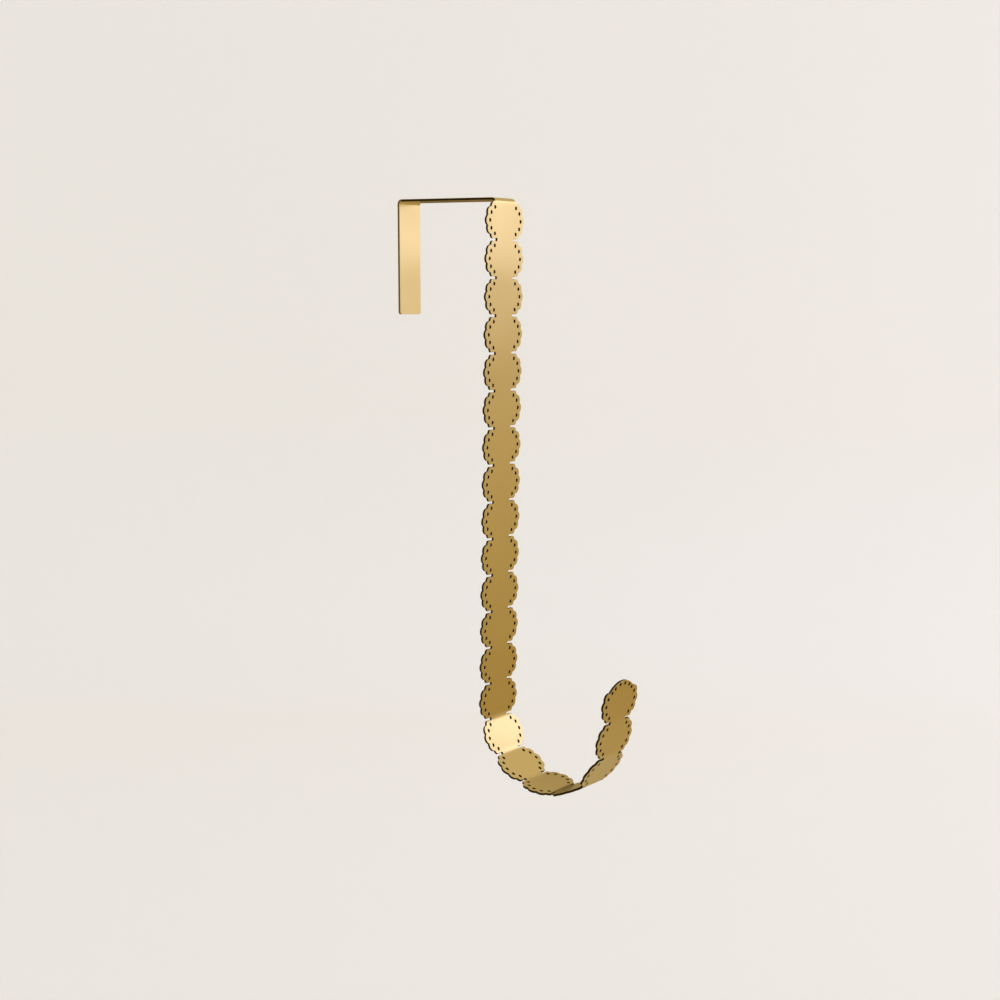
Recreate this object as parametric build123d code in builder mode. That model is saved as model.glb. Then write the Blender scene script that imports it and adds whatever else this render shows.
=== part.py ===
"""Over-the-door wreath hanger, folded from one strip of brass sheet.

A plain tab goes behind the door and a plain bridge lies on its top edge. A long strap of
scalloped lobes hangs down the front and curls forward and up into the hook.

Millimetres and degrees. X is across the strip, -Y is the front of the door and +Z is up.
The origin is the middle of the underside of the bridge, which is what rests on the door.
"""

from build123d import *
import os
from math import cos, radians, sin, sqrt

# Sheet and plain strip
sheet_thickness = 1.0
strip_width = 13.6
bend_inner_radius = 1.0
tab_corner_radius = 1.2

# Door fold: the gap is between strap and tab, and the tab leans in to grip the door
door_gap = 48.0
tab_drop = 46.0
tab_lean = 1.1

# Row of lobes: the straight ones come first, then one for each neck turn of the hook
lobe_pitch = 15.0
straight_lobes = 14
first_lobe_drop = 8.0

# Scalloped edge: pierced beads stand on an arc round a centre on each side of the lobe
arc_centre_offset = 4.7
arc_radius = 5.7
bead_step = 32.5
beads_from_middle = 2
bead_radius = 2.35
hole_diameter = 1.5

# Keyhole notch on each side of a neck
notch_width = 1.0
notch_tip_diameter = 1.4
notch_tip_offset = 6.0

# Rounded end of the last lobe: holes on a flatter arc, with a plain rim beyond them
cap_radius = 10.8
cap_step = 18.5
cap_holes = 4
cap_rim = 1.2

# Hook: the sheet is bent at its necks only, and the lobes between them stay flat
neck_turns = (24, 30, 26, 32, 36, 22, 3)
neck_bend_length = 3.0

# Small round outlines are repeated hundreds of times, so each one has only a few sides
hole_sides = 6
bead_sides = 8

# How far a cut reaches on each side of the sheet, and how far joined shapes overlap
cut_reach = 2 * sheet_thickness
overlap = 0.4

half_thickness = sheet_thickness / 2
bend_radius = bend_inner_radius + half_thickness
bridge_half_run = door_gap / 2 - bend_inner_radius
fold_start = Vector(-bridge_half_run, half_thickness)
lobe_count = straight_lobes + len(neck_turns)
lobe_flat = lobe_pitch - neck_bend_length
lobe_half_width = arc_centre_offset + arc_radius + bead_radius
end_hole_offset = arc_centre_offset + arc_radius * cos(radians(beads_from_middle * bead_step))
end_hole_rise = arc_radius * sin(radians(beads_from_middle * bead_step))
cap_centre_rise = end_hole_rise - sqrt(cap_radius**2 - end_hole_offset**2)
cap_reach = cap_centre_rise + cap_radius + cap_rim
first_lobe = bend_radius * radians(90) + first_lobe_drop - bend_inner_radius


def lay_path(start, heading, moves, offset=0.0):
    """Lay runs and tangent arcs end to end, offset to the left; returns both end points."""
    point = start + Vector(-sin(radians(heading)), cos(radians(heading))) * offset
    first_point = point
    for length, turn in moves:
        way = Vector(cos(radians(heading)), sin(radians(heading)))
        if turn:
            radius = length / abs(radians(turn))
            step = JernArc(point, way, radius - offset if turn > 0 else radius + offset, turn)
        else:
            step = Line(point, point + way * length)
        point = step @ 1
        heading += turn
    return first_point, point


def sheet_section(heading, moves):
    """Side view of the bent sheet from the front end of the bridge, with both its faces."""
    with BuildSketch(Plane.YZ) as section:
        with BuildLine():
            left = lay_path(fold_start, heading, moves, half_thickness)
            right = lay_path(fold_start, heading, moves, -half_thickness)
            Line(left[0], right[0])
            Line(left[1], right[1])
        make_face()
    return section.sketch


def tab_moves():
    """Lengths and turns from the front end of the bridge back over the door to the tab's end."""
    turn = 90 + tab_lean
    tab_length = (tab_drop - bend_inner_radius) / cos(radians(tab_lean))
    return [(2 * bridge_half_run, 0), (bend_radius * radians(turn), -turn), (tab_length, 0)]


def strap_moves(past_last_lobe):
    """Lengths and turns from the bridge down the strap and round the hook."""
    straight = first_lobe_drop - bend_inner_radius + (straight_lobes - 0.5) * lobe_pitch
    moves = [(bend_radius * radians(90), 90), (straight - neck_bend_length / 2, 0)]
    for turn in neck_turns:
        moves += [(neck_bend_length, -turn), (lobe_flat, 0)]
    return moves[:-1] + [(lobe_flat / 2 + past_last_lobe, 0)]


with BuildLine() as strap_path:
    lay_path(fold_start, 180, strap_moves(cap_reach))
strap_line = strap_path.wires()[0]


def sheet_plane(distance):
    """Plane of the sheet at a distance down the strap: x across it, y along it."""
    point = strap_line.position_at(distance, position_mode=PositionMode.LENGTH)
    along = strap_line.tangent_at(distance, position_mode=PositionMode.LENGTH)
    across = Vector(1, 0, 0)
    return Plane(
        origin=(0, point.X, point.Y),
        x_dir=across,
        z_dir=across.cross(Vector(0, along.X, along.Y)),
    )


def round_edge(radius, sides, steps_up):
    """Draw small round outlines along both edges of a lobe, up to some steps above its middle."""
    sweep = (beads_from_middle + steps_up) * bead_step
    places = beads_from_middle + steps_up + 1
    with Locations((arc_centre_offset, 0)):
        with PolarLocations(arc_radius, places, -beads_from_middle * bead_step, sweep, endpoint=True):
            RegularPolygon(radius, sides)
    mirror(about=Plane.YZ)


def lobe_outline(lobe_plane, capped):
    """Faces of a flat lobe with its beads, without the holes; a capped one ends in a plain arc."""
    with BuildSketch(lobe_plane) as outline:
        round_edge(bead_radius, bead_sides, beads_from_middle - 1 if capped else beads_from_middle)
        with Locations((arc_centre_offset, 0), (-arc_centre_offset, 0)):
            Circle(arc_radius)
        if capped:
            cap_outer_radius = cap_radius + cap_rim
            cap_foot = arc_radius * sin(radians((beads_from_middle - 1) * bead_step))
            half_chord = sqrt(cap_outer_radius**2 - (cap_foot - cap_centre_rise) ** 2)
            with BuildLine():
                left = (-half_chord, cap_foot)
                right = (half_chord, cap_foot)
                ThreePointArc(left, (0, cap_reach), right)
                Line(right, left)
            make_face()
    return outline.sketch.faces()


def lobe_holes(lobe_plane, capped):
    """Faces of the holes along a lobe's edges, and round its end if it is capped."""
    with BuildSketch(lobe_plane) as holes:
        round_edge(hole_diameter / 2, hole_sides, beads_from_middle)
        if capped:
            sweep = (cap_holes - 1) * cap_step
            with Locations((0, cap_centre_rise)):
                with PolarLocations(cap_radius, cap_holes, 90 - sweep / 2, sweep, endpoint=True):
                    RegularPolygon(hole_diameter / 2, hole_sides)
    return holes.sketch.faces()


def neck_notches(neck):
    """Faces of the two keyhole notches that part one lobe from the next."""
    neck_plane = sheet_plane(first_lobe + (neck + 0.5) * lobe_pitch)
    slot_length = lobe_half_width - notch_tip_offset
    slot_middle = notch_tip_offset + slot_length / 2
    with BuildSketch(neck_plane.offset(-cut_reach)) as notches:
        with Locations((notch_tip_offset, 0), (-notch_tip_offset, 0)):
            RegularPolygon(notch_tip_diameter / 2, hole_sides)
        with Locations((slot_middle, 0), (-slot_middle, 0)):
            Rectangle(slot_length, notch_width)
    return notches.sketch.faces()


outlines = []
cuts = []
for lobe in range(lobe_count):
    lobe_plane = sheet_plane(first_lobe + lobe * lobe_pitch).offset(-cut_reach)
    last = lobe == lobe_count - 1
    outlines += lobe_outline(lobe_plane, last)
    cuts += lobe_holes(lobe_plane, last)
for neck in range(lobe_count - 1):
    cuts += neck_notches(neck)

# The scalloped lobes, bent with the strap
with BuildPart() as lobes:
    extrude(outlines, amount=2 * cut_reach)
    wide_section = sheet_section(180, strap_moves(cap_reach + overlap))
    extrude(wide_section, amount=lobe_half_width + overlap, both=True, mode=Mode.INTERSECT)

with BuildPart() as wreath_hanger:
    extrude(sheet_section(0, tab_moves()), amount=strip_width / 2, both=True)
    tab_end = wreath_hanger.faces().sort_by(Axis.Z)[0]
    fillet(tab_end.edges().filter_by(Axis.X, reverse=True), tab_corner_radius)
    extrude(sheet_section(180, strap_moves(end_hole_rise)), amount=strip_width / 2, both=True)
    add(lobes.part)
    extrude(cuts, amount=2 * cut_reach, mode=Mode.SUBTRACT)
wreath_hanger.part.label = "wreath_hanger"

os.makedirs("parts", exist_ok=True)
export_step(wreath_hanger.part, "parts/wreath_hanger.step")
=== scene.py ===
"""Looks of a brass over-the-door wreath hanger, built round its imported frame.

The hanger is one strip of sheet. It is drawn here as the flat blank that a workshop would cut,
with truly round holes and softly broken edges, and is then folded along the same middle line as
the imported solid. Blank sizes are in millimetres and the finished mesh is in metres.
"""

import logging
from dataclasses import dataclass
from enum import Enum, IntEnum
from math import atan2, ceil, cos, degrees, pi, radians, sin, sqrt

import bmesh
import bpy
from mathutils import Euler, Matrix, Vector

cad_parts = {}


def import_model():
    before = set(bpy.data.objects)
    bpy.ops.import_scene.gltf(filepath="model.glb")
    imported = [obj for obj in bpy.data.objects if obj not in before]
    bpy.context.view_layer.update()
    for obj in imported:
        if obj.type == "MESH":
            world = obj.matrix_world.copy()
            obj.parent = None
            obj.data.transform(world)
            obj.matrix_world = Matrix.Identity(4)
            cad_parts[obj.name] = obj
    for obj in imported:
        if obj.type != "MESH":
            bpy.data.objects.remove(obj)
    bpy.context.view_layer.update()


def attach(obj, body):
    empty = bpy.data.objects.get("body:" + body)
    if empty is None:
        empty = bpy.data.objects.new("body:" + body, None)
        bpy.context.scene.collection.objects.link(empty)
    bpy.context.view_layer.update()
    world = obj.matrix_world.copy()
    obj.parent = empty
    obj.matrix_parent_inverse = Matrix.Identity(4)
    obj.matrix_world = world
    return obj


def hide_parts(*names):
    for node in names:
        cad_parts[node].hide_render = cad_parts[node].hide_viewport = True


LOG = logging.getLogger("wreath_hanger")
MM = 0.001


class Side(Enum):
    """The way that an arc runs round its centre, as the sign of its angle."""

    ANTICLOCKWISE = 1
    CLOCKWISE = -1


class Cover(IntEnum):
    """Finish that a face of the sheet wears, as its place in the sheet's list of materials; the cut walls
    wear painted shade.
    """

    BRASS = 0
    CUT = 1
    TAB_CUT = 2


def aimed(place: tuple[float, ...], way: Vector) -> Matrix:
    """Work out the matrix of a thing that stands at a place and points its -Z along a way."""
    return Matrix.Translation(place) @ way.to_track_quat("-Z", "Y").to_matrix().to_4x4()


def flat_rectangle(width: float, depth: float) -> bmesh.types.BMesh:
    """Draw a rectangle round the origin.

    Args:
        width: Size along X, in metres.
        depth: Size along Y, in metres.

    Returns:
        The mesh, with one face.
    """
    mesh = bmesh.new()
    bmesh.ops.create_grid(mesh, x_segments=1, y_segments=1, size=1)
    bmesh.ops.scale(mesh, verts=mesh.verts[:], vec=(width / 2, depth / 2, 1))
    return mesh


def put_in_scene(name: str, mesh: bmesh.types.BMesh) -> bpy.types.Object:
    """Turn a drawn mesh into an object of the scene.

    Args:
        name: Name of the object and of its mesh.
        mesh: The drawn mesh, which is freed.

    Returns:
        The object, at the origin.
    """
    data = bpy.data.meshes.new(name)
    mesh.to_mesh(data)
    mesh.free()
    made = bpy.data.objects.new(name, data)
    bpy.context.scene.collection.objects.link(made)
    return made


@dataclass(frozen=True)
class SheetSizes:
    """Driving sizes of the strip, in millimetres and degrees."""

    thickness: float = 1.0
    strip_width: float = 13.6
    bend_inner_radius: float = 1.0
    tab_corner_radius: float = 1.2
    door_gap: float = 48.0
    tab_drop: float = 46.0
    tab_lean: float = 1.1
    lobe_pitch: float = 15.0
    straight_lobes: int = 14
    first_lobe_drop: float = 8.0
    arc_centre_offset: float = 4.7
    arc_radius: float = 5.7
    bead_step: float = 32.5
    beads_from_middle: int = 2
    bead_radius: float = 2.35
    hole_radius: float = 0.75
    notch_width: float = 1.0
    notch_tip_radius: float = 0.7
    notch_tip_offset: float = 6.0
    cap_radius: float = 10.8
    cap_step: float = 18.5
    cap_holes: int = 4
    cap_rim: float = 1.2
    neck_turns: tuple[float, ...] = (24, 30, 26, 32, 36, 22, 3)
    neck_bend_length: float = 3.0
    broken_edge: float = 0.05

    @property
    def half_thickness(self) -> float:
        """Half of the sheet."""
        return self.thickness / 2

    @property
    def bend_radius(self) -> float:
        """Radius of the middle of the sheet in the two square folds."""
        return self.bend_inner_radius + self.half_thickness

    @property
    def bridge_half_run(self) -> float:
        """Half of the flat run over the door."""
        return self.door_gap / 2 - self.bend_inner_radius

    @property
    def first_lobe(self) -> float:
        """Distance from the front end of the bridge to the middle of the first lobe."""
        return self.bend_radius * radians(90) + self.first_lobe_drop - self.bend_inner_radius

    @property
    def lobe_count(self) -> int:
        """All the lobes, straight and in the hook."""
        return self.straight_lobes + len(self.neck_turns)

    @property
    def end_hole(self) -> Vector:
        """Outermost hole of a lobe, from the lobe's middle."""
        turn = radians(self.beads_from_middle * self.bead_step)
        return Vector((self.arc_centre_offset + self.arc_radius * cos(turn), self.arc_radius * sin(turn)))

    @property
    def cap_centre_rise(self) -> float:
        """Centre of the flatter arc round the end of the last lobe, from the lobe's middle."""
        return self.end_hole.y - sqrt(self.cap_radius**2 - self.end_hole.x**2)

    @property
    def cap_outer_radius(self) -> float:
        """Radius of the plain rim round the end of the last lobe."""
        return self.cap_radius + self.cap_rim


@dataclass(frozen=True)
class Run:
    """One stretch of the folded middle line: its length and how far it turns, to the left."""

    length: float
    turn: float = 0.0


class FoldLine:
    """Middle line of the folded sheet in the plane across the door, from the bridge's front end."""

    def __init__(self, sizes: SheetSizes) -> None:
        """Lay the strap's runs and the tab's runs.

        Args:
            sizes: Driving sizes of the strip.
        """
        self.sizes = sizes
        self.start = Vector((-sizes.bridge_half_run, sizes.half_thickness))
        self.strap = self._strap_runs()
        self.tab = self._tab_runs()

    def _strap_runs(self) -> list[Run]:
        """Runs down the strap and round the hook.

        Returns:
            The runs in order, the last one long enough for the rounded end.
        """
        s = self.sizes
        straight = s.first_lobe_drop - s.bend_inner_radius + (s.straight_lobes - 0.5) * s.lobe_pitch
        runs = [Run(s.bend_radius * radians(90), 90), Run(straight - s.neck_bend_length / 2)]
        for turn in s.neck_turns:
            runs += [Run(s.neck_bend_length, -turn), Run(s.lobe_pitch - s.neck_bend_length)]
        return runs + [Run(s.lobe_pitch)]

    def _tab_runs(self) -> list[Run]:
        """Runs back over the door and down the tab.

        Returns:
            The bridge, the fold behind it and the flat tab.
        """
        s = self.sizes
        turn = 90 + s.tab_lean
        drop = (s.tab_drop - s.bend_inner_radius) / cos(radians(s.tab_lean))
        return [Run(2 * s.bridge_half_run), Run(s.bend_radius * radians(turn), -turn), Run(drop)]

    def bridge_end(self) -> float:
        """Distance along the blank at which the bridge ends and the tab's fold begins."""
        return -self.tab[0].length

    def tab_end(self) -> float:
        """Distance along the blank at which the tab ends."""
        return -sum(run.length for run in self.tab)

    def place(self, distance: float) -> tuple[Vector, Vector]:
        """Find a point of the middle line and the direction towards the door there.

        Args:
            distance: Distance along the blank, positive down the strap.

        Returns:
            The point and the unit vector, both as (y, z) in millimetres.
        """
        runs, heading, inward = (self.strap, pi, 1) if distance >= 0 else (self.tab, 0.0, -1)
        point = self.start.copy()
        remaining = abs(distance)
        for run in runs:
            step = min(remaining, run.length)
            turned = heading + radians(run.turn) * step / run.length
            if run.turn:
                radius = run.length / radians(run.turn)
                point += radius * Vector((sin(turned) - sin(heading), cos(heading) - cos(turned)))
            else:
                point += step * Vector((cos(heading), sin(heading)))
            heading = turned
            remaining -= step
            if remaining <= 0:
                break
        return point, inward * Vector((-sin(heading), cos(heading)))

    def bend_cuts(self, widest: float) -> list[float]:
        """List the distances at which the blank is cut so that it can bend smoothly.

        Args:
            widest: The most that one slice may turn, in degrees.

        Returns:
            Distances along the blank.
        """
        cuts = []
        for runs, way in ((self.strap, 1), (self.tab, -1)):
            distance = 0.0
            for run in runs:
                if run.turn:
                    slices = ceil(abs(run.turn) / widest)
                    cuts += [way * (distance + run.length * i / slices) for i in range(slices + 1)]
                distance += run.length
        return cuts


class Pen:
    """Draws an outline on the flat blank by extruding and spinning one vertex."""

    def __init__(
        self, mesh: bmesh.types.BMesh, start: tuple[float, float], arc_step: float, longest_side: float
    ) -> None:
        """Set the pen down.

        Args:
            mesh: The blank.
            start: Where the outline begins.
            arc_step: The most that one side of an arc may turn, in degrees.
            longest_side: The longest that one side of an arc may be.
        """
        self.mesh = mesh
        self.arc_step = arc_step
        self.longest_side = longest_side
        self.tip = mesh.verts.new((start[0], start[1], 0))

    def line_to(self, x: float, y: float) -> None:
        """Draw a straight line to a point.

        Args:
            x: Distance of the point across the blank.
            y: Distance of the point along the blank.
        """
        drawn = bmesh.ops.extrude_vert_indiv(self.mesh, verts=[self.tip])
        self.tip = drawn["verts"][0]
        self.tip.co = (x, y, 0)

    def arc_to(self, centre: Vector, end: Vector, side: Side = Side.ANTICLOCKWISE) -> None:
        """Draw an arc round a centre to a point.

        Args:
            centre: Centre of the arc.
            end: Last point of the arc.
            side: Which way round the arc runs.
        """
        here = self.tip.co.xy - centre
        there = end - centre
        turn = atan2(there.y, there.x) - atan2(here.y, here.x)
        sweep = side.value * ((side.value * turn) % (2 * pi))
        by_angle = degrees(abs(sweep)) / self.arc_step
        by_length = abs(sweep) * here.length / self.longest_side
        drawn = bmesh.ops.spin(
            self.mesh,
            geom=[self.tip],
            cent=(centre.x, centre.y, 0),
            axis=(0, 0, 1),
            angle=sweep,
            steps=ceil(max(by_angle, by_length)),
        )
        self.tip = next(part for part in drawn["geom_last"] if isinstance(part, bmesh.types.BMVert))
        self.tip.co = (end.x, end.y, 0)


def circles_meet(first: Vector, first_radius: float, second: Vector, second_radius: float) -> Vector:
    """Find where two circles cross on the right of the way from first to second.

    Args:
        first: Centre of the first circle.
        first_radius: Radius of the first circle.
        second: Centre of the next circle.
        second_radius: Radius of the next circle.

    Returns:
        The crossing point on the outer side.
    """
    way = (second - first).normalized()
    gap = (second - first).length
    along = (gap**2 + first_radius**2 - second_radius**2) / (2 * gap)
    across = sqrt(first_radius**2 - along**2)
    return first + along * way + across * Vector((way.y, -way.x))


class NodeGraph:
    """Node tree of a material or of the world, with short ways to add to it."""

    def __init__(self, owner: bpy.types.Material | bpy.types.World) -> None:
        """Open the tree.

        Args:
            owner: The material or the world that the tree belongs to.
        """
        owner.use_nodes = True
        self.nodes = owner.node_tree.nodes
        self.links = owner.node_tree.links

    def noise(
        self, place: bpy.types.NodeSocket, detail: float, scale: float = 1.0
    ) -> bpy.types.NodeSocket:
        """Add a noise.

        Args:
            place: Socket that gives the coordinates.
            detail: How many finer layers of noise are added to it.
            scale: Scale of the noise.

        Returns:
            The socket that gives the noise.
        """
        noise = self.nodes.new("ShaderNodeTexNoise")
        noise.inputs["Scale"].default_value = scale
        noise.inputs["Detail"].default_value = detail
        self.links.new(place, noise.inputs["Vector"])
        return noise.outputs["Fac"]

    def bump(
        self, height: bpy.types.NodeSocket, depth: float, strength: float = 1.0
    ) -> bpy.types.Node:
        """Add a bump.

        Args:
            height: Socket that gives the height.
            depth: Depth of the bump, in metres.
            strength: Share of the bump that shows.

        Returns:
            The bump's node.
        """
        bump = self.nodes.new("ShaderNodeBump")
        bump.inputs["Strength"].default_value = strength
        bump.inputs["Distance"].default_value = depth
        self.links.new(height, bump.inputs["Height"])
        return bump

    def choose(
        self, choice: bpy.types.NodeSocket, otherwise: bpy.types.NodeSocket, chosen: bpy.types.NodeSocket
    ) -> bpy.types.NodeSocket:
        """Add a choice between two shaders.

        Args:
            choice: Socket that is 1 where the second shader shows and 0 elsewhere.
            otherwise: Socket of the first shader.
            chosen: Socket of the second shader.

        Returns:
            The socket that gives the shader.
        """
        mix = self.nodes.new("ShaderNodeMixShader")
        for source, target in zip((choice, otherwise, chosen), mix.inputs):
            self.links.new(source, target)
        return mix.outputs["Shader"]


@dataclass(frozen=True)
class BrassFinish:
    """Satin brass, with soft clouds of wear, a faint grain and the slight dents of hand work."""

    name: str = "satin_brass"
    colour: tuple[float, ...] = (0.91, 0.76, 0.41, 1.0)
    worn_colour: tuple[float, ...] = (0.86, 0.70, 0.35, 1.0)
    roughness: float = 0.30
    roughness_spread: float = 0.05
    cloud_scale: float = 38.0
    cloud_detail: float = 3.0
    grain_stretch: tuple[float, ...] = (2200.0, 260.0, 260.0)
    grain_detail: float = 2.0
    grain_strength: float = 0.035
    grain_depth: float = 0.1 * MM
    dent_scale: float = 48.0
    dent_detail: float = 0.0
    dent_depth: float = 0.25 * MM

    def build(self) -> bpy.types.Material:
        """Make the material from nodes.

        Returns:
            The finished material.
        """
        material = bpy.data.materials.new(self.name)
        graph = NodeGraph(material)
        shader = graph.nodes["Principled BSDF"]
        shader.inputs["Metallic"].default_value = 1.0
        place = graph.nodes.new("ShaderNodeTexCoord").outputs["Object"]
        self.wear(graph, place, shader)
        self.emboss(graph, place, shader)
        return material

    def wear(self, graph: NodeGraph, place: bpy.types.NodeSocket, shader: bpy.types.Node) -> None:
        """Vary the colour and the roughness in soft clouds.

        Args:
            graph: The material's nodes.
            place: Socket that gives the coordinates.
            shader: The metal's shader.
        """
        clouds = graph.noise(place, self.cloud_detail, self.cloud_scale)
        tint = graph.nodes.new("ShaderNodeMix")
        tint.data_type = "RGBA"
        tint.inputs["A"].default_value = self.colour
        tint.inputs["B"].default_value = self.worn_colour
        graph.links.new(clouds, tint.inputs["Factor"])
        graph.links.new(tint.outputs["Result"], shader.inputs["Base Color"])
        sheen = graph.nodes.new("ShaderNodeMapRange")
        sheen.inputs["To Min"].default_value = self.roughness - self.roughness_spread
        sheen.inputs["To Max"].default_value = self.roughness + self.roughness_spread
        graph.links.new(clouds, sheen.inputs["Value"])
        graph.links.new(sheen.outputs["Result"], shader.inputs["Roughness"])

    def emboss(self, graph: NodeGraph, place: bpy.types.NodeSocket, shader: bpy.types.Node) -> None:
        """Lay the fine grain over the broad dents.

        Args:
            graph: The material's nodes.
            place: Socket that gives the coordinates.
            shader: The metal's shader.
        """
        stretch = graph.nodes.new("ShaderNodeMapping")
        stretch.inputs["Scale"].default_value = self.grain_stretch
        graph.links.new(place, stretch.inputs["Vector"])
        grain_height = graph.noise(stretch.outputs["Vector"], self.grain_detail)
        grain = graph.bump(grain_height, self.grain_depth, self.grain_strength)
        dent_height = graph.noise(place, self.dent_detail, self.dent_scale)
        dents = graph.bump(dent_height, self.dent_depth)
        graph.links.new(dents.outputs["Normal"], grain.inputs["Normal"])
        graph.links.new(grain.outputs["Normal"], shader.inputs["Normal"])


@dataclass(frozen=True)
class CutShadeFinish:
    """Dull metal darkened with painted shade, on the walls of the outline and of the holes."""

    name: str
    colour: tuple[float, ...]
    roughness: float = 0.5

    def build(self) -> bpy.types.Material:
        """Make the material.

        Returns:
            The finished material.
        """
        material = bpy.data.materials.new(self.name)
        shader = NodeGraph(material).nodes["Principled BSDF"]
        shader.inputs["Base Color"].default_value = self.colour
        shader.inputs["Metallic"].default_value = 1.0
        shader.inputs["Roughness"].default_value = self.roughness
        return material


@dataclass(frozen=True)
class PaintFinish:
    """Matt paint of the studio's own things."""

    name: str
    colour: tuple[float, ...]
    clear_from_behind: bool = False
    roughness: float = 0.9

    def build(self) -> bpy.types.Material:
        """Make the material.

        Returns:
            The finished material.
        """
        material = bpy.data.materials.new(self.name)
        graph = NodeGraph(material)
        paint = graph.nodes["Principled BSDF"]
        paint.inputs["Base Color"].default_value = self.colour
        paint.inputs["Roughness"].default_value = self.roughness
        if self.clear_from_behind:
            clear = graph.nodes.new("ShaderNodeBsdfTransparent")
            behind = graph.nodes.new("ShaderNodeNewGeometry").outputs["Backfacing"]
            shown = graph.choose(behind, paint.outputs["BSDF"], clear.outputs["BSDF"])
            graph.links.new(shown, graph.nodes["Material Output"].inputs["Surface"])
        return material


@dataclass
class HangerSheet:
    """The whole hanger: one pierced and scalloped strip, folded over the door and into a hook.

    The sizes are in millimetres and degrees.
    """

    sizes: SheetSizes = SheetSizes()
    finish: BrassFinish = BrassFinish()
    # Near-black painted shade on the cut walls of the strap and of the holes.
    cut_shade_finish: CutShadeFinish = CutShadeFinish("painted_shade_cut", (0.05, 0.036, 0.015, 1.0))
    # The tab's cut walls wear a paler copy of the painted shade, lighter where the light falls on them.
    tab_cut_shade_finish: CutShadeFinish = CutShadeFinish("tab_cut", (0.32, 0.245, 0.11, 1.0))
    name: str = "folded_sheet"
    node: str = "wreath_hanger"
    slot: str = "brass_sheet"
    arc_step: float = 15.0
    longest_side: float = 0.7
    hole_sides: int = 18
    widest_slice: float = 2.5
    flat_limit: float = 5.0
    merge_distance: float = 1e-4

    def lobe_middle(self, lobe: float) -> float:
        """Distance along the blank of a lobe's middle; half a lobe more gives the neck after it."""
        return self.sizes.first_lobe + lobe * self.sizes.lobe_pitch

    def side_holes(self, lobe: int) -> list[Vector]:
        """Find the holes down the right edge of a lobe, which are the middles of its beads too.

        Args:
            lobe: Which lobe, from the bridge.

        Returns:
            The centres in order down the strap.
        """
        s = self.sizes
        middle = Vector((s.arc_centre_offset, self.lobe_middle(lobe)))
        beads = range(-s.beads_from_middle, s.beads_from_middle + 1)
        turns = [radians(bead * s.bead_step) for bead in beads]
        return [middle + s.arc_radius * Vector((cos(turn), sin(turn))) for turn in turns]

    def cap_centre(self) -> Vector:
        """Centre of the arcs round the end of the last lobe."""
        return Vector((0, self.lobe_middle(self.sizes.lobe_count - 1) + self.sizes.cap_centre_rise))

    def cap_holes(self) -> list[Vector]:
        """Find the holes on the right half of the rounded end.

        Returns:
            The centres, outermost first.
        """
        s = self.sizes
        turns = [radians((hole + 0.5) * s.cap_step) for hole in reversed(range(s.cap_holes // 2))]
        return [self.cap_centre() + s.cap_radius * Vector((sin(turn), cos(turn))) for turn in turns]

    def draw_beads(self, pen: Pen, centres: list[Vector]) -> None:
        """Draw each bead as far as the next one, and stop on the last.

        Args:
            pen: The pen, on the first bead.
            centres: Middles of the beads in order.
        """
        radius = self.sizes.bead_radius
        for bead, following in zip(centres, centres[1:]):
            pen.arc_to(bead, circles_meet(bead, radius, following, radius))

    def draw_notch(self, pen: Pen, neck: float) -> None:
        """Draw the keyhole notch at a neck, in and out again.

        Args:
            pen: The pen, at the notch's mouth.
            neck: Distance of the neck along the blank.
        """
        s = self.sizes
        half = s.notch_width / 2
        root = s.notch_tip_offset + sqrt(s.notch_tip_radius**2 - half**2)
        pen.line_to(root, neck - half)
        pen.arc_to(Vector((s.notch_tip_offset, neck)), Vector((root, neck + half)), Side.CLOCKWISE)

    def draw_outline(self, mesh: bmesh.types.BMesh, tab_end: float) -> None:
        """Draw the right half of the blank's outline from the tab's end to the hook's tip.

        Args:
            mesh: The blank.
            tab_end: Distance of the tab's end along the blank.
        """
        s = self.sizes
        half_width = s.strip_width / 2
        corner = s.tab_corner_radius
        corner_centre = Vector((half_width - corner, tab_end + corner))
        pen = Pen(mesh, (0, tab_end), self.arc_step, self.longest_side)
        pen.line_to(corner_centre.x, tab_end)
        pen.arc_to(corner_centre, Vector((half_width, corner_centre.y)))
        first = self.side_holes(0)[0]
        pen.line_to(half_width, first.y - sqrt(s.bead_radius**2 - (half_width - first.x) ** 2))
        for lobe in range(s.lobe_count - 1):
            beads = self.side_holes(lobe)
            self.draw_beads(pen, beads)
            last = beads[-1]
            neck = self.lobe_middle(lobe + 0.5)
            mouth = neck - s.notch_width / 2
            reach = sqrt(s.bead_radius**2 - (mouth - last.y) ** 2)
            pen.arc_to(last, Vector((last.x + reach, mouth)))
            self.draw_notch(pen, neck)
            pen.line_to(last.x + reach, neck + s.notch_width / 2)
        beads = self.side_holes(s.lobe_count - 1)[:-1]
        self.draw_beads(pen, beads)
        cap = self.cap_centre()
        pen.arc_to(beads[-1], circles_meet(beads[-1], s.bead_radius, cap, s.cap_outer_radius))
        pen.arc_to(cap, cap + Vector((0, s.cap_outer_radius)))

    def build_blank(self, mesh: bmesh.types.BMesh, tab_end: float) -> None:
        """Draw the outline and the holes, mirror them and fill the front of the sheet.

        Args:
            mesh: An empty mesh.
            tab_end: Distance of the tab's end along the blank.
        """
        self.draw_outline(mesh, tab_end)
        holes = self.cap_holes()
        for lobe in range(self.sizes.lobe_count):
            holes += self.side_holes(lobe)
        for centre in holes:
            bmesh.ops.create_circle(
                mesh,
                segments=self.hole_sides,
                radius=self.sizes.hole_radius,
                matrix=Matrix.Translation((centre.x, centre.y, 0)),
            )
        self.mirror_whole(mesh, "X")
        bmesh.ops.triangle_fill(mesh, use_beauty=True, edges=mesh.edges[:], normal=(0, 0, 1))

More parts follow.
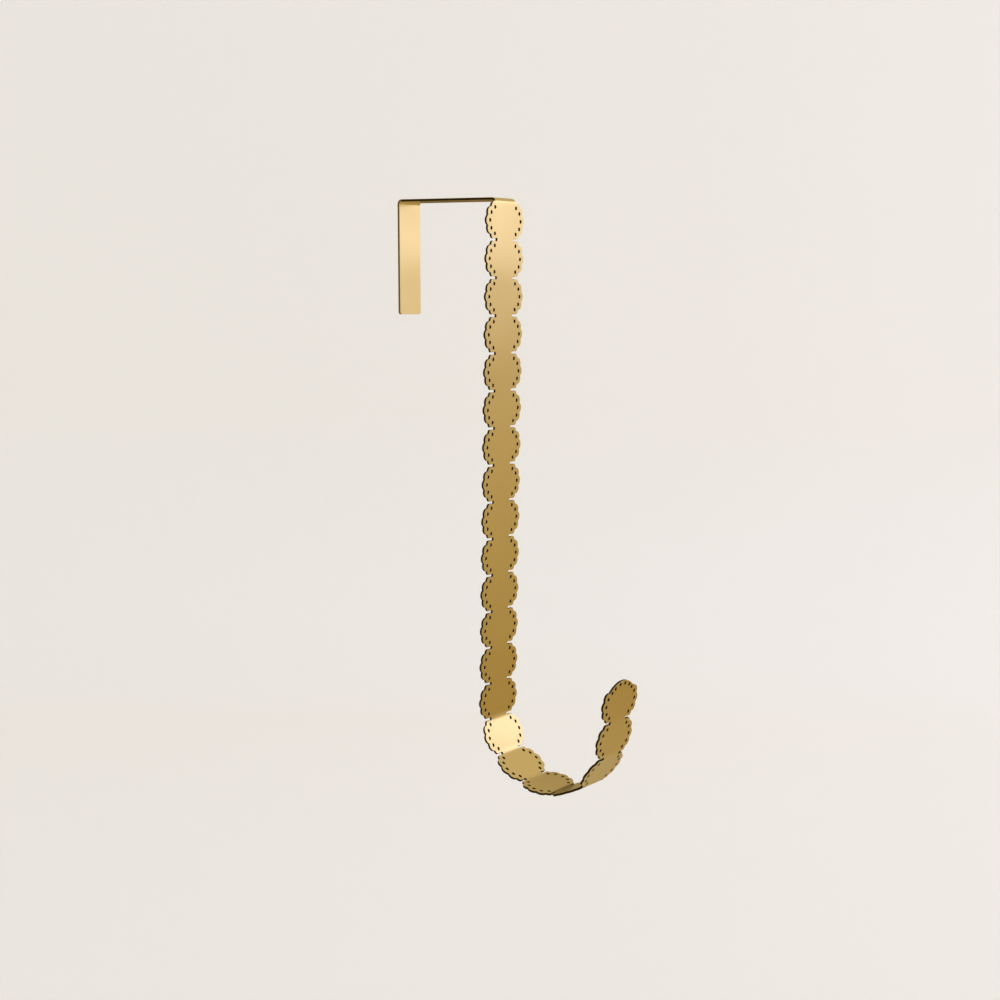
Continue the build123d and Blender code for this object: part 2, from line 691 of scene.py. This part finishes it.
    def mirror_whole(self, mesh: bmesh.types.BMesh, axis: str) -> None:
        """Double the mesh about the middle of the blank and join what meets there.

        Args:
            mesh: The blank.
            axis: The axis that is turned round, X or Z.
        """
        bmesh.ops.mirror(
            mesh,
            geom=mesh.verts[:] + mesh.edges[:] + mesh.faces[:],
            matrix=Matrix.Identity(4),
            merge_dist=self.merge_distance,
            axis=axis,
        )
        bmesh.ops.remove_doubles(mesh, verts=mesh.verts[:], dist=self.merge_distance)

    def break_edges(self, mesh: bmesh.types.BMesh) -> None:
        """Round the rim of the front in two steps and fill the front again inside it.

        Args:
            mesh: The filled blank.
        """
        rise = self.sizes.broken_edge
        eighth = radians(45)
        steps = (
            (rise * (1 - cos(eighth)), rise * sin(eighth)),
            (rise * cos(eighth), rise * (1 - sin(eighth))),
        )
        front = mesh.faces[:]
        for inset, lift in steps:
            bmesh.ops.inset_region(
                mesh, faces=front, use_boundary=True, use_even_offset=True, thickness=inset, depth=lift
            )
        bmesh.ops.delete(mesh, geom=front, context="FACES")
        open_edges = [edge for edge in mesh.edges if edge.is_boundary]
        raised = [edge for edge in open_edges if min(vert.co.z for vert in edge.verts) > rise / 2]
        bmesh.ops.triangle_fill(mesh, use_beauty=True, edges=raised, normal=(0, 0, 1))

    def draw_walls(self, mesh: bmesh.types.BMesh) -> None:
        """Raise the front to its height and extrude its rim down to the middle of the sheet.

        Args:
            mesh: The front of the sheet with its broken edges.
        """
        s = self.sizes
        bmesh.ops.translate(mesh, verts=mesh.verts[:], vec=(0, 0, s.half_thickness - s.broken_edge))
        rim = [edge for edge in mesh.edges if edge.is_boundary]
        wall = bmesh.ops.extrude_edge_only(mesh, edges=rim)
        for part in wall["geom"]:
            if isinstance(part, bmesh.types.BMVert):
                part.co.z = 0

    def slice_bends(self, mesh: bmesh.types.BMesh, cuts: list[float]) -> None:
        """Cut the blank across wherever it will bend.

        Args:
            mesh: The blank.
            cuts: Distances along the blank.
        """
        for cut in cuts:
            faces = []
            for face in mesh.faces:
                along = [vert.co.y for vert in face.verts]
                if min(along) < cut < max(along):
                    faces.append(face)
            edges = dict.fromkeys(edge for face in faces for edge in face.edges)
            verts = dict.fromkeys(vert for face in faces for vert in face.verts)
            bmesh.ops.bisect_plane(
                mesh,
                geom=[*faces, *edges, *verts],
                dist=self.merge_distance,
                plane_co=(0, cut, 0),
                plane_no=(0, 1, 0),
            )

    def cover(self, mesh: bmesh.types.BMesh, bridge_end: float) -> None:
        """Choose the sharp edges and each wall's painted shade while the blank is still flat.

        Args:
            mesh: The whole blank.
            bridge_end: Distance along the blank at which the tab's paler painted shade begins.
        """
        limit = radians(self.flat_limit)
        for edge in mesh.edges:
            flat = [abs(face.normal.z) > cos(limit) for face in edge.link_faces]
            edge.smooth = all(flat) or not any(flat)
        for face in mesh.faces:
            face.smooth = True
            # Upright walls get painted shade: near-black on the strap, paler on the tab.
            if abs(face.normal.z) < sin(limit):
                on_tab = face.calc_center_median().y <= bridge_end
                face.material_index = Cover.TAB_CUT if on_tab else Cover.CUT

    def fold(self, mesh: bmesh.types.BMesh, line: FoldLine) -> None:
        """Move every point of the blank to its place on the folded sheet, in metres.

        Args:
            mesh: The finished blank.
            line: Middle line of the folded sheet.
        """
        for vert in mesh.verts:
            across, along, towards_door = vert.co
            middle, inward = line.place(along)
            place = (middle + inward * towards_door) * MM
            vert.co = (across * MM, place.x, place.y)

    def build(self) -> bpy.types.Object:
        """Returns:
            The piece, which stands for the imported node.
        """
        line = FoldLine(self.sizes)
        mesh = bmesh.new()
        self.build_blank(mesh, line.tab_end())
        self.break_edges(mesh)
        self.draw_walls(mesh)
        self.slice_bends(mesh, line.bend_cuts(self.widest_slice))
        self.mirror_whole(mesh, "Z")
        bmesh.ops.recalc_face_normals(mesh, faces=mesh.faces[:])
        self.cover(mesh, line.bridge_end())
        self.fold(mesh, line)
        bmesh.ops.recalc_face_normals(mesh, faces=mesh.faces[:])
        piece = put_in_scene(self.name, mesh)
        finishes = {
            Cover.BRASS: self.finish,
            Cover.CUT: self.cut_shade_finish,
            Cover.TAB_CUT: self.tab_cut_shade_finish,
        }
        for cover in Cover:
            piece.data.materials.append(finishes[cover].build())
        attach(piece, "root")
        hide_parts(self.node)
        return piece


@dataclass(frozen=True)
class Viewpoint:
    """The photograph's camera in the hanger's own frame, its lens and sensor in millimetres."""

    name: str = "photo_view"
    place: tuple[float, ...] = (-0.53673, -0.40925, -0.03193)
    heading: float = 54.337
    tilt: float = 7.613
    roll: float = 0.761
    lens: float = 58.867
    sensor: float = 36.0
    nearest: float = 0.01

    def build(self) -> bpy.types.Object:
        """Make the camera the scene's own.

        Returns:
            The camera.
        """
        data = bpy.data.cameras.new(self.name)
        data.lens = self.lens
        data.sensor_width = self.sensor
        data.clip_start = self.nearest
        camera = bpy.data.objects.new(self.name, data)
        turn = Euler((0, 0, radians(-self.heading))).to_matrix()
        lean = Euler((radians(90 - self.tilt), 0, 0)).to_matrix()
        tip = Euler((0, 0, radians(self.roll))).to_matrix()
        camera.matrix_world = Matrix.Translation(self.place) @ (turn @ lean @ tip).to_4x4()
        bpy.context.scene.collection.objects.link(camera)
        bpy.context.scene.camera = camera
        return camera


@dataclass(frozen=True)
class Softbox:
    """One soft rectangular light that faces the hanger; a glow of 1 makes its face white."""

    name: str = "side_softbox"
    place: tuple[float, ...] = (1.30, -0.94, 0.37)
    aim: tuple[float, ...] = (0.0, -0.03, -0.12)
    width: float = 1.1
    height: float = 0.74
    glow: float = 1.23
    colour: tuple[float, ...] = (0.90, 0.90, 1.12)

    def build(self) -> bpy.types.Object:
        """Hang the light.

        Returns:
            The light.
        """
        data = bpy.data.lights.new(self.name, "AREA")
        data.shape = "RECTANGLE"
        data.size = self.width
        data.size_y = self.height
        data.energy = self.glow * pi * self.width * self.height
        data.color = self.colour
        light = bpy.data.objects.new(self.name, data)
        light.matrix_world = aimed(self.place, Vector(self.aim) - Vector(self.place))
        light.visible_camera = False
        bpy.context.scene.collection.objects.link(light)
        return light


@dataclass(frozen=True)
class DarkCard:
    """One dark card that only the metal sees, which deepens what faces away from the light."""

    name: str = "dark_card"
    place: tuple[float, ...] = (0.66, 0.50, -0.04)
    aim: tuple[float, ...] = (0.0, 0.0, 0.0)
    width: float = 0.60
    height: float = 0.36
    finish: PaintFinish = PaintFinish("dark_card", (0.02, 0.012, 0.004, 1.0))

    def build(self) -> bpy.types.Object:
        """Stand the card so that it faces the hanger.

        Returns:
            The card.
        """
        mesh = flat_rectangle(self.width, self.height)
        back_towards = aimed(self.place, Vector(self.place) - Vector(self.aim))
        bmesh.ops.transform(mesh, matrix=back_towards, verts=mesh.verts[:])
        card = put_in_scene(self.name, mesh)
        card.data.materials.append(self.finish.build())
        card.visible_camera = False
        card.visible_diffuse = False
        card.visible_shadow = False
        return card


@dataclass(frozen=True)
class Studio:
    """Plain pale backdrop, and soft light from a bright side and a warm room."""

    softbox: Softbox = Softbox()
    dark_card: DarkCard = DarkCard()
    wall_distance: float = 1.00
    wall_height: float = 3.0
    wall_width: float = 8.0
    floor_drop: float = 0.42
    floor_depth: float = 5.0
    sweep_radius: float = 0.25
    sweep_segments: int = 24
    backdrop_finish: PaintFinish = PaintFinish("pale_backdrop", (0.98, 0.95, 0.89, 1.0), True)
    sky_colour: tuple[float, ...] = (0.98, 0.98, 1.0, 1.0)
    sky_strength: float = 0.85
    shown_sky: tuple[float, ...] = (0.86, 0.84, 0.80, 1.0)
    room: tuple[tuple, ...] = (
        (-1.0, (0.50, 0.43, 0.32)),
        (-0.45, (0.50, 0.39, 0.21)),
        (-0.27, (0.33, 0.20, 0.03)),
        (-0.20, (0.41, 0.29, 0.09)),
        (-0.12, (0.58, 0.46, 0.25)),
        (-0.04, (0.46, 0.34, 0.15)),
        (0.40, (0.42, 0.31, 0.15)),
        (0.62, (0.62, 0.50, 0.28)),
        (1.0, (0.80, 0.75, 0.65)),
    )

    def build_world(self) -> None:
        """Light the backdrop evenly, and surround the metal with a warm room."""
        world = bpy.data.worlds.new("soft_room")
        bpy.context.scene.world = world
        graph = NodeGraph(world)
        glow = graph.nodes["Background"]
        glow.inputs["Color"].default_value = self.sky_colour
        glow.inputs["Strength"].default_value = self.sky_strength
        shown = graph.nodes.new("ShaderNodeBackground")
        shown.inputs["Color"].default_value = self.shown_sky
        path = graph.nodes.new("ShaderNodeLightPath")
        mirrored = path.outputs["Is Glossy Ray"]
        lit = graph.choose(mirrored, glow.outputs["Background"], self.build_room(graph))
        seen = graph.choose(path.outputs["Is Camera Ray"], lit, shown.outputs["Background"])
        graph.links.new(seen, graph.nodes["World Output"].inputs["Surface"])

    def build_room(self, graph: NodeGraph) -> bpy.types.NodeSocket:
        """Colour the room by height, from straight down at -1 to straight up at 1.

        Args:
            graph: The world's nodes.

        Returns:
            The socket that gives the room's light.
        """
        place = graph.nodes.new("ShaderNodeTexCoord")
        split = graph.nodes.new("ShaderNodeSeparateXYZ")
        rise = graph.nodes.new("ShaderNodeMapRange")
        rise.inputs["From Min"].default_value = -1.0
        walls = graph.nodes.new("ShaderNodeValToRGB")
        stops = walls.color_ramp.elements
        stops.remove(stops[1])
        for index, (height, colour) in enumerate(self.room):
            position = (height + 1) / 2
            stop = stops[0] if index == 0 else stops.new(position)
            stop.position = position
            stop.color = (*colour, 1.0)
        room = graph.nodes.new("ShaderNodeBackground")
        graph.links.new(place.outputs["Generated"], split.inputs["Vector"])
        graph.links.new(split.outputs["Z"], rise.inputs["Value"])
        graph.links.new(rise.outputs["Result"], walls.inputs["Fac"])
        graph.links.new(walls.outputs["Color"], room.inputs["Color"])
        return room.outputs["Background"]

    def build_backdrop(self, heading: float) -> bpy.types.Object:
        """Sweep a pale floor up into a wall behind the hanger.

        Args:
            heading: The camera's heading, in degrees, which the wall faces.

        Returns:
            The backdrop.
        """
        mesh = flat_rectangle(self.wall_width, self.floor_depth)
        reach = self.wall_distance - self.floor_depth / 2
        bmesh.ops.translate(mesh, verts=mesh.verts[:], vec=(0, reach, -self.floor_drop))
        mesh.edges.ensure_lookup_table()
        far = max(mesh.edges, key=lambda edge: edge.verts[0].co.y + edge.verts[1].co.y)
        raised = bmesh.ops.extrude_edge_only(mesh, edges=[far])
        top = [part for part in raised["geom"] if isinstance(part, bmesh.types.BMVert)]
        bmesh.ops.translate(mesh, verts=top, vec=(0, 0, self.wall_height))
        corner = [edge for edge in mesh.edges if len(edge.link_faces) == 2]
        bmesh.ops.bevel(
            mesh,
            geom=corner,
            offset=self.sweep_radius,
            offset_type="OFFSET",
            segments=self.sweep_segments,
            profile=0.5,
            affect="EDGES",
            material=-1,
        )
        turn = Matrix.Rotation(radians(-heading), 3, "Z")
        bmesh.ops.rotate(mesh, verts=mesh.verts[:], cent=(0, 0, 0), matrix=turn)
        for face in mesh.faces:
            face.smooth = True
        mesh.normal_update()
        floor = min(mesh.faces, key=lambda face: face.calc_center_median().z)
        if floor.normal.z < 0:
            bmesh.ops.reverse_faces(mesh, faces=mesh.faces[:])
        backdrop = put_in_scene("backdrop", mesh)
        backdrop.data.materials.append(self.backdrop_finish.build())
        backdrop.visible_glossy = False
        return backdrop

    def build(self, heading: float) -> None:
        """Set up the backdrop, the sky and the lights.

        Args:
            heading: The camera's heading, in degrees.
        """
        self.build_world()
        self.build_backdrop(heading)
        self.softbox.build()
        self.dark_card.build()
        bpy.context.scene.view_settings.view_transform = "Standard"


def main() -> None:
    """Build the hanger, its light and its camera."""
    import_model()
    piece = HangerSheet().build()
    LOG.info("%s: %d faces", piece.name, len(piece.data.polygons))
    view = Viewpoint()
    view.build()
    Studio().build(view.heading)


if __name__ == "__main__":
    logging.basicConfig(level=logging.INFO)
    main()
